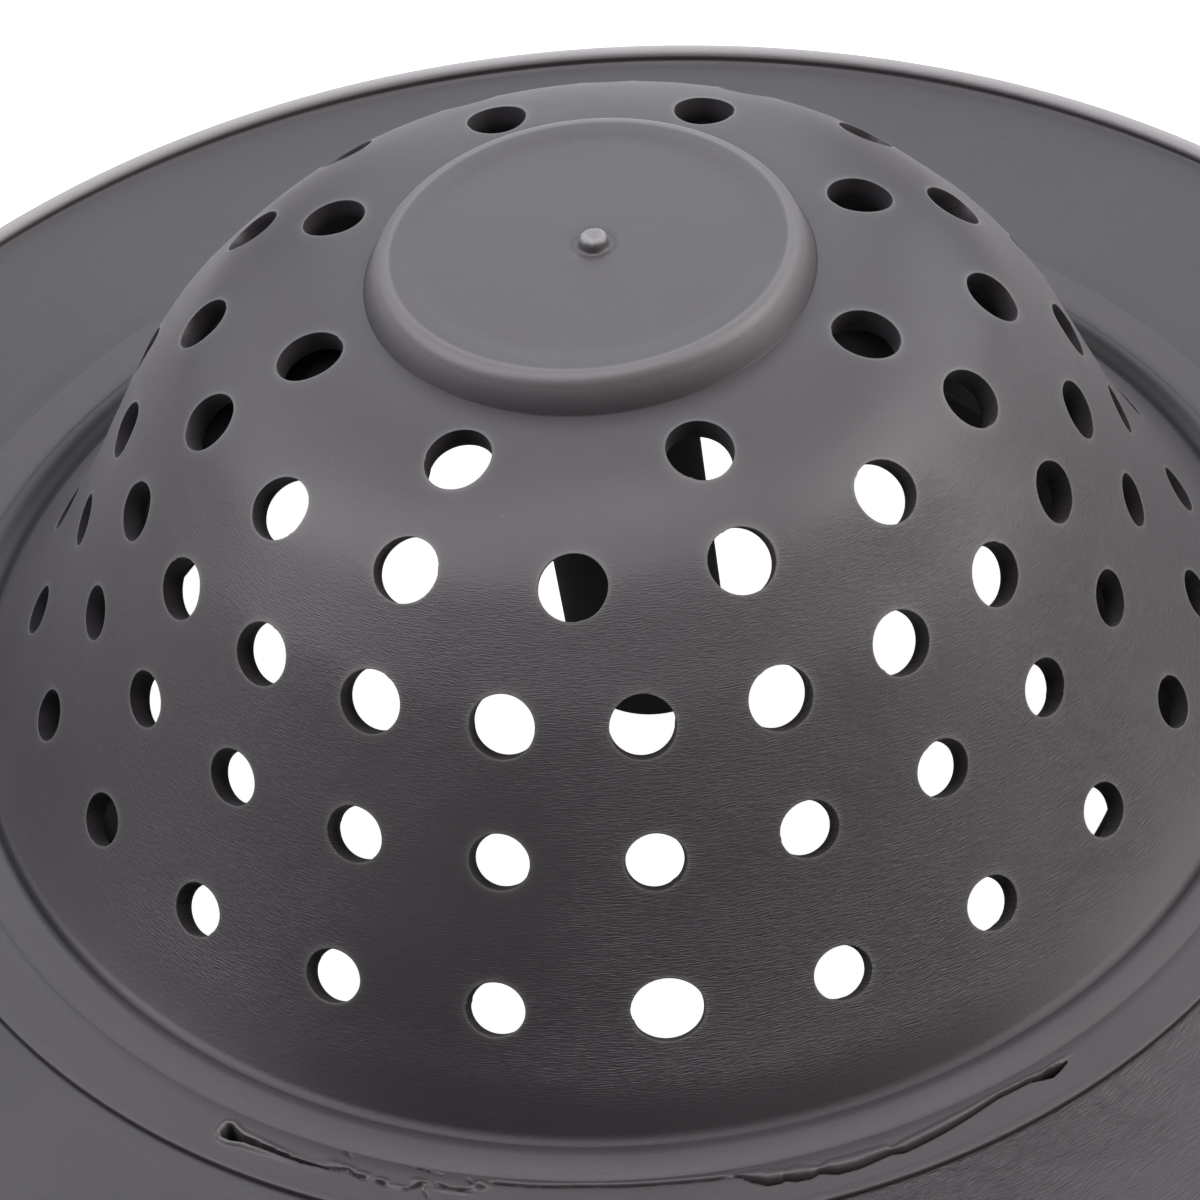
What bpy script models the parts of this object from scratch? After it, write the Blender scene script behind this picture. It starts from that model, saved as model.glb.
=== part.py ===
"""Kitchen sink strainer stopper: a perforated bowl in a stiff mouth ring with a soft sealing skirt.

Metres, +Z up. The bowl stands dome up on its mouth ring's collar, with the origin on the floor under its centre.
"""

from math import asin, atan2, cos, degrees, hypot, pi, radians, sin, tan

import bmesh
import bpy
from mathutils import Matrix, Vector

MM = 0.001

# Clearance between pieces that touch on the real object
CLEARANCE = 0.3 * MM

# Base disc on the crown, with its gate nub and the spigot that goes through the bowl
DISC_FACE_RADIUS = 10.65 * MM
DISC_HEIGHT = 1.75 * MM
DISC_DRAFT = radians(26)
DISC_EDGE = 0.35 * MM
DISC_DISH = 0.12 * MM
NUB_RADIUS = 0.7 * MM
NUB_HEIGHT = 0.6 * MM
SPIGOT_RADIUS = 2.4 * MM
SPIGOT_LENGTH = 12.0 * MM
DISC_BASE_RADIUS = DISC_FACE_RADIUS + DISC_HEIGHT * tan(DISC_DRAFT)

# Bowl: a flat crown, a round shoulder and a straight wall that flares to the crease at the mouth
WALL = 1.25 * MM
CREASE_RADIUS = 36.55 * MM
CREASE_HEIGHT = 6.4 * MM
DOME_HEIGHT = 24.85 * MM
CROWN_MARGIN = 0.3 * MM
FLARE_WIDTH = 4.2 * MM
FLARE_HEIGHT = 5.26 * MM
SHOULDER_SHARE = 0.78
CROWN_RADIUS = DISC_BASE_RADIUS + CROWN_MARGIN
FLARE_START_RADIUS = CREASE_RADIUS - FLARE_WIDTH
SHOULDER_RADIUS = SHOULDER_SHARE * (FLARE_START_RADIUS - CROWN_RADIUS)

# Holes, ring by ring from the crown: how many, how far out as a share of the crease, lean from +Z and turn
HOLE_COUNTS = (8, 16, 24, 24, 24)
HOLE_SHARES = (0.413, 0.564, 0.689, 0.780, 0.885)
HOLE_DIAMETERS = (3.3 * MM, 3.3 * MM, 3.0 * MM, 2.85 * MM, 2.75 * MM)
HOLE_LEANS = (radians(13), radians(34), radians(55), radians(47), radians(43))
HOLE_TURNS = (radians(-118), radians(-95.5), radians(-103), radians(-103), radians(-103))
WIDE_HOLE_RING = 4
WIDE_HOLE_NUMBER = 1
WIDE_HOLE_DIAMETER = 3.4 * MM
HOLE_SIDES = 10
PIN_LENGTH = 6 * WALL

# Rim of the bowl: the lip beside the seam, and the tongue that locks it in the mouth ring
RIM_WIDTH = 2.15 * MM
BAND_RISE = 0.73 * MM
RIM_END_SLOPE = radians(36)
FOOT_WIDTH = 2.5 * MM
BOWL_TONGUE_REACH = 0.6 * MM
BOWL_TONGUE_DEPTH = 0.7 * MM
BOWL_TONGUE_LIFT = 0.5 * MM
SEAM_RADIUS = CREASE_RADIUS + RIM_WIDTH
FOOT_INNER_RADIUS = SEAM_RADIUS - FOOT_WIDTH

# Mouth ring: the flat band outside the seam, the ledge under the bowl and the collar that stands on the floor
BAND_WIDTH = 2.8 * MM
RING_EDGE = 0.15 * MM
LEDGE_DROP = 1.7 * MM
LEDGE_THICKNESS = 1.7 * MM
COLLAR_INSET = 7.15 * MM
COLLAR_WALL = 2.0 * MM
COLLAR_DRAFT = 0.5 * MM
RING_OUTER_RADIUS = SEAM_RADIUS + BAND_WIDTH
LEDGE_HEIGHT = CREASE_HEIGHT - LEDGE_DROP
COLLAR_INNER_RADIUS = CREASE_RADIUS - COLLAR_INSET

# Sealing skirt with its raised lip, and the tongue that locks it in the mouth ring
SKIRT_WIDTH = 16.0 * MM
SKIRT_THICKNESS = 2.0 * MM
STEP_HEIGHT = 0.35 * MM
SKIRT_TONGUE_REACH = 0.9 * MM
SKIRT_TONGUE_DEPTH = 1.0 * MM
LIP_RISE = 1.1 * MM
LIP_WIDTH = 2.2 * MM
LIP_SLOPE = radians(60)
LIP_TIP_RADIUS = 0.45 * MM
SKIRT_RADIUS = RING_OUTER_RADIUS + SKIRT_WIDTH

# Grip post inside the bowl, pushed on the spigot and leaning a little
POST_RADIUS = 4.6 * MM
POST_LEAN = radians(3.9)
POST_EDGE = 0.5 * MM
POST_END_HEIGHT = 2.2 * MM

BOWL_STEPS = 60
RING_STEPS = 72
SMALL_STEPS = 48
SMOOTH_ANGLE = radians(35)

CROWN_HEIGHT = CREASE_HEIGHT + DOME_HEIGHT
BAND_HEIGHT = CREASE_HEIGHT + BAND_RISE
SKIRT_TOP = BAND_HEIGHT - STEP_HEIGHT


def clear_scene():
    for thing in list(bpy.data.objects):
        bpy.data.objects.remove(thing, do_unlink=True)


def plastic(name, colour, roughness):
    material = bpy.data.materials.new(name)
    material.use_nodes = True
    shader = material.node_tree.nodes["Principled BSDF"]
    shader.inputs["Base Color"].default_value = (*colour, 1)
    shader.inputs["Roughness"].default_value = roughness
    shader.inputs["Metallic"].default_value = 0
    return material


def arc(centre, radius, start, end, steps):
    """Points (distance from the axis, height) along an arc, in degrees from the outward direction."""
    points = []
    for step in range(steps + 1):
        angle = radians(start + (end - start) * step / steps)
        points.append((centre[0] + radius * cos(angle), centre[1] + radius * sin(angle)))
    return points


def bend(start, end, start_slope, end_slope, steps):
    """Points from start to end whose slope turns evenly from one angle to the other."""
    heading = [start_slope + (end_slope - start_slope) * (step + 0.5) / steps for step in range(steps)]
    across = sum(cos(angle) for angle in heading)
    upward = sum(sin(angle) for angle in heading)
    stretch = hypot(end[0] - start[0], end[1] - start[1]) / hypot(across, upward)
    turn = atan2(end[1] - start[1], end[0] - start[0]) - atan2(upward, across)
    points = [start]
    for angle in heading:
        last = points[-1]
        points.append((last[0] + stretch * cos(angle + turn), last[1] + stretch * sin(angle + turn)))
    points[-1] = end
    return points


def offset(points, distance):
    """The same outline moved to its right-hand side by a wall's thickness."""
    moved = []
    for index, point in enumerate(points):
        before = points[max(index - 1, 0)]
        after = points[min(index + 1, len(points) - 1)]
        length = hypot(after[0] - before[0], after[1] - before[1])
        across = (after[1] - before[1]) / length
        down = (before[0] - after[0]) / length
        moved.append((point[0] + across * distance, point[1] + down * distance))
    return moved


def finish(mesh_data, name, material):
    mesh = bpy.data.meshes.new(name)
    mesh_data.to_mesh(mesh)
    mesh_data.free()
    mesh.materials.append(material)
    mesh.shade_smooth()
    mesh.set_sharp_from_angle(angle=SMOOTH_ANGLE)
    piece = bpy.data.objects.new(name, mesh)
    bpy.context.collection.objects.link(piece)
    return piece


def turned(name, outline, steps, material, closed=True):
    """A solid of revolution from an outline of (distance from the axis, height) points."""
    solid = bmesh.new()
    corners = [solid.verts.new((across, 0, height)) for across, height in outline]
    edges = [solid.edges.new(pair) for pair in zip(corners, corners[1:])]
    if closed:
        edges.append(solid.edges.new((corners[-1], corners[0])))
    bmesh.ops.spin(
        solid, geom=corners + edges, cent=(0, 0, 0), axis=(0, 0, 1), angle=2 * pi, steps=steps, use_merge=True
    )
    bmesh.ops.remove_doubles(solid, verts=solid.verts, dist=0.001 * MM)
    bmesh.ops.recalc_face_normals(solid, faces=solid.faces)
    return finish(solid, name, material)


def dome_outline():
    """The bowl's outer side, from its centre hole over the crown and down to the crease."""
    flat_start = (SPIGOT_RADIUS + CLEARANCE, CROWN_HEIGHT)
    shoulder_centre = (CROWN_RADIUS, CROWN_HEIGHT - SHOULDER_RADIUS)
    flare_start = (FLARE_START_RADIUS, CREASE_HEIGHT + FLARE_HEIGHT)
    across = flare_start[0] - shoulder_centre[0]
    down = shoulder_centre[1] - flare_start[1]
    wall_slope = atan2(down, across) + asin(SHOULDER_RADIUS / hypot(across, down))
    shoulder = arc(shoulder_centre, SHOULDER_RADIUS, 90, 90 - degrees(wall_slope), 6)
    crease = (CREASE_RADIUS, CREASE_HEIGHT)
    chord = atan2(crease[1] - flare_start[1], crease[0] - flare_start[0])
    flare = bend(flare_start, crease, -wall_slope, 2 * chord + wall_slope, 3)
    return [flat_start, *shoulder, *flare]


def height_at(outline, distance):
    for inner, outer in zip(outline, outline[1:]):
        if inner[0] <= distance <= outer[0]:
            return inner[1] + (outer[1] - inner[1]) * (distance - inner[0]) / (outer[0] - inner[0])
    return outline[0][1]


def hole_pins(outline):
    """Cylinders that stand through the wall, ring by ring, spaced evenly round the axis."""
    pins = bmesh.new()
    for ring, count in enumerate(HOLE_COUNTS):
        distance = HOLE_SHARES[ring] * CREASE_RADIUS
        centre = Matrix.Translation(Vector((distance, 0, height_at(outline, distance))))
        lean = Matrix.Rotation(HOLE_LEANS[ring], 4, "Y")
        for number in range(count):
            wide = ring == WIDE_HOLE_RING and number == WIDE_HOLE_NUMBER
            radius = (WIDE_HOLE_DIAMETER if wide else HOLE_DIAMETERS[ring]) / 2
            turn = Matrix.Rotation(HOLE_TURNS[ring] + number * 2 * pi / count, 4, "Z")
            bmesh.ops.create_cone(
                pins,
                cap_ends=True,
                segments=HOLE_SIDES,
                radius1=radius,
                radius2=radius,
                depth=PIN_LENGTH,
                matrix=turn @ centre @ lean,
            )
    return pins


def strainer_bowl():
    material = plastic("strainer_bowl_plastic", (0.135, 0.130, 0.135), 0.45)
    outer = dome_outline()
    inner = offset(outer, WALL)
    inner[0] = (outer[0][0], CROWN_HEIGHT - WALL)
    seam_top = (SEAM_RADIUS, BAND_HEIGHT)
    rim = bend(outer[-1], seam_top, 0, RIM_END_SLOPE, 3)[1:]
    tongue_tip = SEAM_RADIUS + BOWL_TONGUE_REACH
    foot_height = LEDGE_HEIGHT + CLEARANCE
    tongue_low = foot_height + BOWL_TONGUE_LIFT
    tongue_high = tongue_low + BOWL_TONGUE_DEPTH
    foot = [
        (SEAM_RADIUS, tongue_high),
        (tongue_tip, tongue_high),
        (tongue_tip, tongue_low),
        (SEAM_RADIUS, tongue_low),
        (SEAM_RADIUS, foot_height),
        (FOOT_INNER_RADIUS, foot_height),
    ]
    bowl = turned("strainer_bowl", [*outer, *rim, *foot, *reversed(inner)], BOWL_STEPS, material)
    cutter = finish(hole_pins(outer), "hole_pins", material)
    cutter.hide_render = True
    cutter.display_type = "WIRE"
    cut = bowl.modifiers.new("holes", "BOOLEAN")
    cut.operation = "DIFFERENCE"
    cut.object = cutter
    cut.solver = "EXACT"
    return bowl


def mouth_ring():
    material = plastic("mouth_ring_plastic", (0.150, 0.145, 0.150), 0.45)
    inside = SEAM_RADIUS + CLEARANCE
    bowl_groove = inside + BOWL_TONGUE_REACH
    bowl_groove_low = LEDGE_HEIGHT + BOWL_TONGUE_LIFT
    bowl_groove_high = bowl_groove_low + BOWL_TONGUE_DEPTH + 2 * CLEARANCE
    collar_outside = COLLAR_INNER_RADIUS + COLLAR_WALL
    skirt_groove = RING_OUTER_RADIUS - SKIRT_TONGUE_REACH
    tongue_centre = SKIRT_TOP - SKIRT_THICKNESS / 2
    groove_high = tongue_centre + SKIRT_TONGUE_DEPTH / 2 + CLEARANCE
    groove_low = tongue_centre - SKIRT_TONGUE_DEPTH / 2 - CLEARANCE
    outline = [
        (inside, BAND_HEIGHT),
        (RING_OUTER_RADIUS - RING_EDGE, BAND_HEIGHT),
        (RING_OUTER_RADIUS, BAND_HEIGHT - RING_EDGE),
        (RING_OUTER_RADIUS, groove_high),
        (skirt_groove, groove_high),
        (skirt_groove, groove_low),
        (RING_OUTER_RADIUS, groove_low),
        (RING_OUTER_RADIUS, LEDGE_HEIGHT - LEDGE_THICKNESS),
        (collar_outside + COLLAR_DRAFT, LEDGE_HEIGHT - LEDGE_THICKNESS),
        (collar_outside, 0),
        (COLLAR_INNER_RADIUS, 0),
        (COLLAR_INNER_RADIUS + COLLAR_DRAFT, LEDGE_HEIGHT),
        (inside, LEDGE_HEIGHT),
        (inside, bowl_groove_low),
        (bowl_groove, bowl_groove_low),
        (bowl_groove, bowl_groove_high),
        (inside, bowl_groove_high),
    ]
    return turned("mouth_ring", outline, RING_STEPS, material)


def sealing_skirt():
    material = plastic("sealing_skirt_rubber", (0.165, 0.160, 0.168), 0.55)
    inside = RING_OUTER_RADIUS + CLEARANCE
    tongue_tip = RING_OUTER_RADIUS - SKIRT_TONGUE_REACH + CLEARANCE
    bottom = SKIRT_TOP - SKIRT_THICKNESS
    tongue_centre = SKIRT_TOP - SKIRT_THICKNESS / 2
    tongue_high = tongue_centre + SKIRT_TONGUE_DEPTH / 2
    tongue_low = tongue_centre - SKIRT_TONGUE_DEPTH / 2
    lip_top = SKIRT_TOP + LIP_RISE
    lip_start = (SKIRT_RADIUS - LIP_WIDTH, SKIRT_TOP)
    tip_centre = (SKIRT_RADIUS - LIP_TIP_RADIUS, lip_top - LIP_TIP_RADIUS)
    tip = arc(tip_centre, LIP_TIP_RADIUS, 90 + degrees(LIP_SLOPE), 0, 5)
    lip = bend(lip_start, tip[0], 0, LIP_SLOPE, 4)[:-1]
    outer_foot = arc((SKIRT_RADIUS - 2 * LIP_TIP_RADIUS, bottom + 2 * LIP_TIP_RADIUS), 2 * LIP_TIP_RADIUS, 0, -90, 4)
    outline = [
        (inside, SKIRT_TOP),
        *lip,
        *tip,
        *outer_foot,
        (inside, bottom),
        (inside, tongue_low),
        (tongue_tip, tongue_low),
        (tongue_tip, tongue_high),
        (inside, tongue_high),
    ]
    return turned("sealing_skirt", outline, RING_STEPS, material)


def base_disc():
    material = plastic("base_disc_plastic", (0.150, 0.145, 0.152), 0.45)
    bottom = CROWN_HEIGHT + CLEARANCE
    face = CROWN_HEIGHT + DISC_HEIGHT
    edge_centre = (DISC_FACE_RADIUS - DISC_EDGE, face - DISC_EDGE)
    outline = [
        (0, bottom - SPIGOT_LENGTH),
        (SPIGOT_RADIUS, bottom - SPIGOT_LENGTH),
        (SPIGOT_RADIUS, bottom),
        (DISC_BASE_RADIUS, bottom),
        *arc(edge_centre, DISC_EDGE, degrees(DISC_DRAFT), 90, 4),
        (DISC_FACE_RADIUS - 3 * DISC_EDGE, face - DISC_DISH),
        (NUB_RADIUS, face - DISC_DISH),
        (NUB_RADIUS, face + NUB_HEIGHT),
        (0, face + NUB_HEIGHT),
    ]
    return turned("base_disc", outline, SMALL_STEPS, material, closed=False)


def grip_post():
    material = plastic("grip_post_rubber", (0.060, 0.058, 0.060), 0.6)
    top = CROWN_HEIGHT - WALL - CLEARANCE
    low = POST_END_HEIGHT
    socket = SPIGOT_RADIUS + CLEARANCE + tan(POST_LEAN) * SPIGOT_LENGTH
    socket_end = CROWN_HEIGHT - SPIGOT_LENGTH - 2 * CLEARANCE
    outline = [
        (0, low),
        *arc((POST_RADIUS - POST_EDGE, low + POST_EDGE), POST_EDGE, -90, 0, 4),
        (POST_RADIUS, top),
        (socket, top),
        (socket, socket_end),
        (0, socket_end),
    ]
    post = turned("grip_post", outline, SMALL_STEPS, material, closed=False)
    for corner in post.data.vertices:
        corner.co.x += (top - corner.co.z) * tan(POST_LEAN)
    return post


def main():
    clear_scene()
    strainer_bowl()
    mouth_ring()
    sealing_skirt()
    base_disc()
    grip_post()


main()
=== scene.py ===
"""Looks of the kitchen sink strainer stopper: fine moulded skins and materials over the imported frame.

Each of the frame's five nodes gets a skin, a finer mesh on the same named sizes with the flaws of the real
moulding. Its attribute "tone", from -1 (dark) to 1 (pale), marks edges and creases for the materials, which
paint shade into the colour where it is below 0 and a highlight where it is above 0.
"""

from math import atan2, cos, degrees, hypot, pi, radians, sin, tan

import bmesh
import bpy
import numpy as np
from mathutils import Matrix, Vector


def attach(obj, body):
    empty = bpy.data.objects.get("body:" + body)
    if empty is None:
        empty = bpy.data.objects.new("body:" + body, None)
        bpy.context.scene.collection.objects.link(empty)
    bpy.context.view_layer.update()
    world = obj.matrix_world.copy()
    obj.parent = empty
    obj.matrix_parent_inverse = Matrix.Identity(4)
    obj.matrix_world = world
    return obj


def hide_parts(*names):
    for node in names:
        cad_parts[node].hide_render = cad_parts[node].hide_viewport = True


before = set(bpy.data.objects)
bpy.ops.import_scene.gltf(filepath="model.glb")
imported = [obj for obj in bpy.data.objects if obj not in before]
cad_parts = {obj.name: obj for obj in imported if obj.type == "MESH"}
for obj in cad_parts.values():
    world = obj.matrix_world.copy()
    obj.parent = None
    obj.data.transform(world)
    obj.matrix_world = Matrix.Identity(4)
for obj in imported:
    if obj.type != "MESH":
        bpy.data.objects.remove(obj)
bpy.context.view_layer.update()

MM = 0.001

# Main sizes, as in the CAD model
WALL = 1.25 * MM
CREASE_RADIUS = 36.55 * MM
CREASE_HEIGHT = 6.4 * MM
DOME_HEIGHT = 24.85 * MM
CROWN_HEIGHT = CREASE_HEIGHT + DOME_HEIGHT
SEAM_RADIUS = CREASE_RADIUS + 2.15 * MM
FOOT_INNER_RADIUS = SEAM_RADIUS - 2.5 * MM
BAND_HEIGHT = CREASE_HEIGHT + 0.73 * MM
STEP_RADIUS = SEAM_RADIUS + 2.8 * MM
SKIRT_TOP = BAND_HEIGHT - 0.35 * MM
SKIRT_BOTTOM = SKIRT_TOP - 2.0 * MM
SKIRT_RADIUS = STEP_RADIUS + 16.0 * MM
LEDGE_TOP = CREASE_HEIGHT - 1.7 * MM
LEDGE_BOTTOM = LEDGE_TOP - 1.7 * MM
COLLAR_DRAFT = 0.5 * MM
DISC_FACE = CROWN_HEIGHT + 1.75 * MM

# The collar's edge seen through the holes is a little wider than the solid's
COLLAR_INNER_RADIUS = CREASE_RADIUS - 6.87 * MM
COLLAR_OUTER_RADIUS = COLLAR_INNER_RADIUS + 2.0 * MM

# Slope of the dome, in degrees below level, at some distances from the axis in mm. Between them it changes evenly
SHOULDER_SLOPES = ((11.8, 0), (20.3, 31.5), (22.1, 43.6), (24.3, 46.4), (25.0, 55.2), (26.0, 61.6))
SHOULDER_STEPS = 60
CROWN_RADIUS = SHOULDER_SLOPES[0][0] * MM
# Places on the dome and its rim: distance from the axis and height
WALL_END = (28.5 * MM, CREASE_HEIGHT + 11.6 * MM)
FLARE_MIDDLE = (32.35 * MM, CREASE_HEIGHT + 5.15 * MM)
FLARE_SLOPES = (radians(-54), radians(-38))
FOOT = (CREASE_RADIUS + 0.12 * MM, BAND_HEIGHT - 0.28 * MM)
CREST = (CREASE_RADIUS + 0.95 * MM, BAND_HEIGHT + 0.05 * MM)
GROOVE_DEPTH = 0.09 * MM

# Holes, ring by ring from the crown: count, distance from the axis, width, height,
# size inside as a share of the size outside, and lean from +Z and turn in degrees
HOLE_RINGS = (
    (8, 15.1 * MM, 3.25 * MM, 3.55 * MM, 1.0, 12, -117.7),
    (16, 20.7 * MM, 3.27 * MM, 3.22 * MM, 1.06, 43, -95.5),
    (24, 25.3 * MM, 3.15 * MM, 3.15 * MM, 1.0, 54, -103.2),
    (24, 28.55 * MM, 2.95 * MM, 2.8 * MM, 0.95, 47, -103.1),
    (24, 32.4 * MM, 2.93 * MM, 2.65 * MM, 0.99, 43, -103.0),
)
HOLE_JITTER = 0.03 * MM
# One hole is wider than the others: its ring and number
WIDE_HOLE = (4, 1)
WIDE_HOLE_TURN = radians(-0.4)
WIDE_HOLE_SIZE = (3.6 * MM, 3.05 * MM)
# A hole's edge: its rounding, how far it is raised and how far out, and the strength and reach of the painted
# highlight round it
HOLE_EDGE = 0.04 * MM
EDGE_LIFT = 0.02 * MM
EDGE_LIFT_REACH = 0.15 * MM
EDGE_PAINTED_HIGHLIGHTS = ((0.35, 0.55 * MM), (0.75, 0.09 * MM))
# Painted shade on each hole's wall and on the dome's inner side
INSIDE_PAINTED_SHADE = -0.5

# The dome's mesh: borders between the rings of hole cells, columns round the axis, and rows of a cell
CELL_BORDERS = (12.6 * MM, 17.9 * MM, 22.9 * MM, 26.85 * MM, 30.4 * MM, 34.4 * MM)
AROUND = 576
CELL_SIDE = 16
CELL_ROWS = (0.0, 0.03, 0.07, 0.12, 0.19, 0.29, 0.43, 0.62, 0.82, 1.0)
AXIS_GAP = 0.02 * MM
WELD = 0.0005 * MM

# The moulding isn't quite true: the crown leans a little, and the band and the collar sit a little off the axis
LEAN_RIGHT = 0.0197
LEAN_BACK = 0.0067
LEAN_SHIFT = Vector((0.08, 0.17, -0.06)) * MM
BACK_BULGE = 0.35 * MM
BAND_SHIFT = -0.55 * MM
COLLAR_SHIFT = (-0.52 * MM, -0.9 * MM)

# Lamps: name, azimuth and elevation in degrees, power in watts and tint
COOL = (0.96, 0.99, 1.05)
LILAC = (1.02, 0.96, 1.02)
WARM = (1.06, 0.97, 0.97)
SOFTBOXES = (
    ("overhead", 0, 90, 0.93, LILAC),
    ("back_low", 0, 15, 0.48, COOL),
    ("back_high", 0, 45, 0.50, COOL),
    ("back_right", 45, 30, 0.63, COOL),
    ("right_low", 90, 15, 0.56, WARM),
    ("right_high", 90, 45, 1.20, WARM),
    ("front_right", 120, 20, 0.20, WARM),
    ("front_left_top", 240, 68, 0.29, LILAC),
    ("left_low", 270, 15, 0.13, LILAC),
    ("left_high", 270, 45, 1.15, LILAC),
    ("back_left", 315, 30, 0.50, COOL),
)
SOFTBOX_SIZE = 0.35
SOFTBOX_DISTANCE = 0.6
LIT_PLACE = Vector((0, 0, 0.02))
WORLD_LIGHT = 0.005
WHITE = (1.0, 1.0, 1.0, 1.0)

# Camera, found by matching the rings of holes, the crease and the skirt's rim
FRAME_PIXELS = 1200
FOCAL_PIXELS = 2611.8
SENSOR = 36.0
CAMERA_PLACE = Vector((0.0, -107.855, 112.418)) * MM
CAMERA_PITCH = radians(44.189)
CAMERA_YAW = radians(-0.464)
CAMERA_ROLL = radians(-5.025)


def waves(seed, count, slowest, fastest):
    """A smooth seeded wobble between about -1 and 1, as a function."""
    chance = np.random.default_rng(seed)
    speeds = chance.uniform(slowest, fastest, count)
    starts = chance.uniform(0, 2 * pi, count)

    def wobble(place):
        place = np.asarray(place, float)[..., None]
        return np.sin(place * speeds + starts).sum(-1) / count ** 0.5

    return wobble


def smooth_step(value, low, high):
    """From 0 at low to 1 at high, with soft ends."""
    share = np.clip((np.asarray(value, float) - low) / (high - low), 0, 1)
    return share * share * (3 - 2 * share)


def bell(value, width):
    """1 where value is 0, falling off softly on both sides."""
    return np.exp(-(value / width) ** 2)


def arc(centre, radius, start, end, steps):
    """Points of a circle's arc, between two angles in degrees."""
    turns = np.radians(np.linspace(start, end, steps + 1))
    return [(centre[0] + radius * cos(turn), centre[1] + radius * sin(turn)) for turn in turns]


def bend(start, end, start_slope, end_slope, steps):
    """Points from start to end whose slope turns evenly from one angle to the other."""
    heading = [start_slope + (end_slope - start_slope) * (step + 0.5) / steps for step in range(steps)]
    across = sum(cos(angle) for angle in heading)
    upward = sum(sin(angle) for angle in heading)
    stretch = hypot(end[0] - start[0], end[1] - start[1]) / hypot(across, upward)
    turn = atan2(end[1] - start[1], end[0] - start[0]) - atan2(upward, across)
    points = [start]
    for angle in heading:
        last = points[-1]
        points.append((last[0] + stretch * cos(angle + turn), last[1] + stretch * sin(angle + turn)))
    points[-1] = end
    return points


def spread(points, step):
    """The same polyline with extra points, so that none of its parts is much longer than step."""
    finer = [points[0]]
    for start, end in zip(points, points[1:]):
        parts = max(1, round(hypot(end[0] - start[0], end[1] - start[1]) / step))
        for part in range(1, parts + 1):
            share = part / parts
            finer.append((start[0] + (end[0] - start[0]) * share, start[1] + (end[1] - start[1]) * share))
    return finer


def settle(points):
    """Leans the dome, and shifts the band and the collar, as on the real moulding."""
    moved = np.array(points, float)
    across, along, height = moved.T
    distance = np.hypot(across, along)
    rise = np.clip((height - CREASE_HEIGHT) / DOME_HEIGHT, 0, 1.1) ** 3
    behind = BACK_BULGE * smooth_step(along, 5 * MM, 20 * MM)
    moved[:, 2] += rise * (LEAN_RIGHT * across + LEAN_BACK * along + LEAN_SHIFT.z + behind)
    moved[:, 0] += rise * LEAN_SHIFT.x
    moved[:, 1] += rise * LEAN_SHIFT.y
    outward = smooth_step(distance, CREASE_RADIUS, STEP_RADIUS)
    outward *= 1 - smooth_step(distance, STEP_RADIUS, SKIRT_RADIUS)
    moved[:, 0] += BAND_SHIFT * outward * (height < CREASE_HEIGHT + 2 * MM)
    under_ledge = (height < LEDGE_TOP + 0.01 * MM) & (distance < CREASE_RADIUS)
    collar = under_ledge & (distance > COLLAR_INNER_RADIUS - 0.1 * MM)
    moved[:, :2] += np.outer(collar, COLLAR_SHIFT)
    return moved


class Skin:
    """Collects loops of points and the faces between them, then makes one object of them."""

    def __init__(self):
        self.points = []
        self.tones = []
        self.faces = []
        self.count = 0

    def loops(self, loops, tones=None, round_trip=False):
        """Faces between neighbouring closed loops, and from the last to the first for a round trip."""
        loops = np.asarray(loops, float)
        rows, across = loops.shape[:2]
        self.points.append(loops.reshape(-1, 3))
        self.tones.append(np.zeros(rows * across) if tones is None else np.asarray(tones, float).reshape(-1))
        row = np.arange(rows if round_trip else rows - 1)
        row, column = (grid.reshape(-1) for grid in np.meshgrid(row, np.arange(across), indexing="ij"))
        next_row = (row + 1) % rows
        next_column = (column + 1) % across
        corners = (
            row * across + column,
            row * across + next_column,
            next_row * across + next_column,
            next_row * across + column,
        )
        self.faces.append(self.count + np.stack(corners, 1))
        self.count += rows * across

    def make(self, name, material, sharp):
        """The object, settled and welded, with edges kept crisp above an angle in degrees."""
        mesh = bpy.data.meshes.new(name)
        points = settle(np.concatenate(self.points))
        mesh.from_pydata(points.tolist(), [], np.concatenate(self.faces).tolist())
        attribute = mesh.attributes.new("tone", "FLOAT", "POINT")
        attribute.data.foreach_set("value", np.concatenate(self.tones).astype(np.float32))
        body = bmesh.new()
        body.from_mesh(mesh)
        bmesh.ops.remove_doubles(body, verts=body.verts, dist=WELD)
        bmesh.ops.dissolve_degenerate(body, edges=body.edges, dist=WELD)
        bmesh.ops.recalc_face_normals(body, faces=body.faces)
        body.to_mesh(mesh)
        body.free()
        mesh.materials.append(material)
        mesh.shade_smooth()
        mesh.set_sharp_from_angle(angle=radians(sharp))
        piece = bpy.data.objects.new(name, mesh)
        bpy.context.collection.objects.link(piece)
        return piece


def turned(outline, turns):
    """Loops of an outline, given as distance from the axis and height, at each turn round the axis."""
    outline = np.asarray(outline, float)
    loops = np.empty((len(outline), len(turns), 3))
    loops[..., 0] = outline[:, None, 0] * np.cos(turns)
    loops[..., 1] = outline[:, None, 0] * np.sin(turns)
    loops[..., 2] = outline[:, None, 1]
    return loops


def turned_loops(outline, steps):
    """Loops of an outline in even steps, which line up with the cells round the holes."""
    start = radians(HOLE_RINGS[-1][-1])
    return turned(outline, np.arange(steps) * 2 * pi / steps + start)


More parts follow.
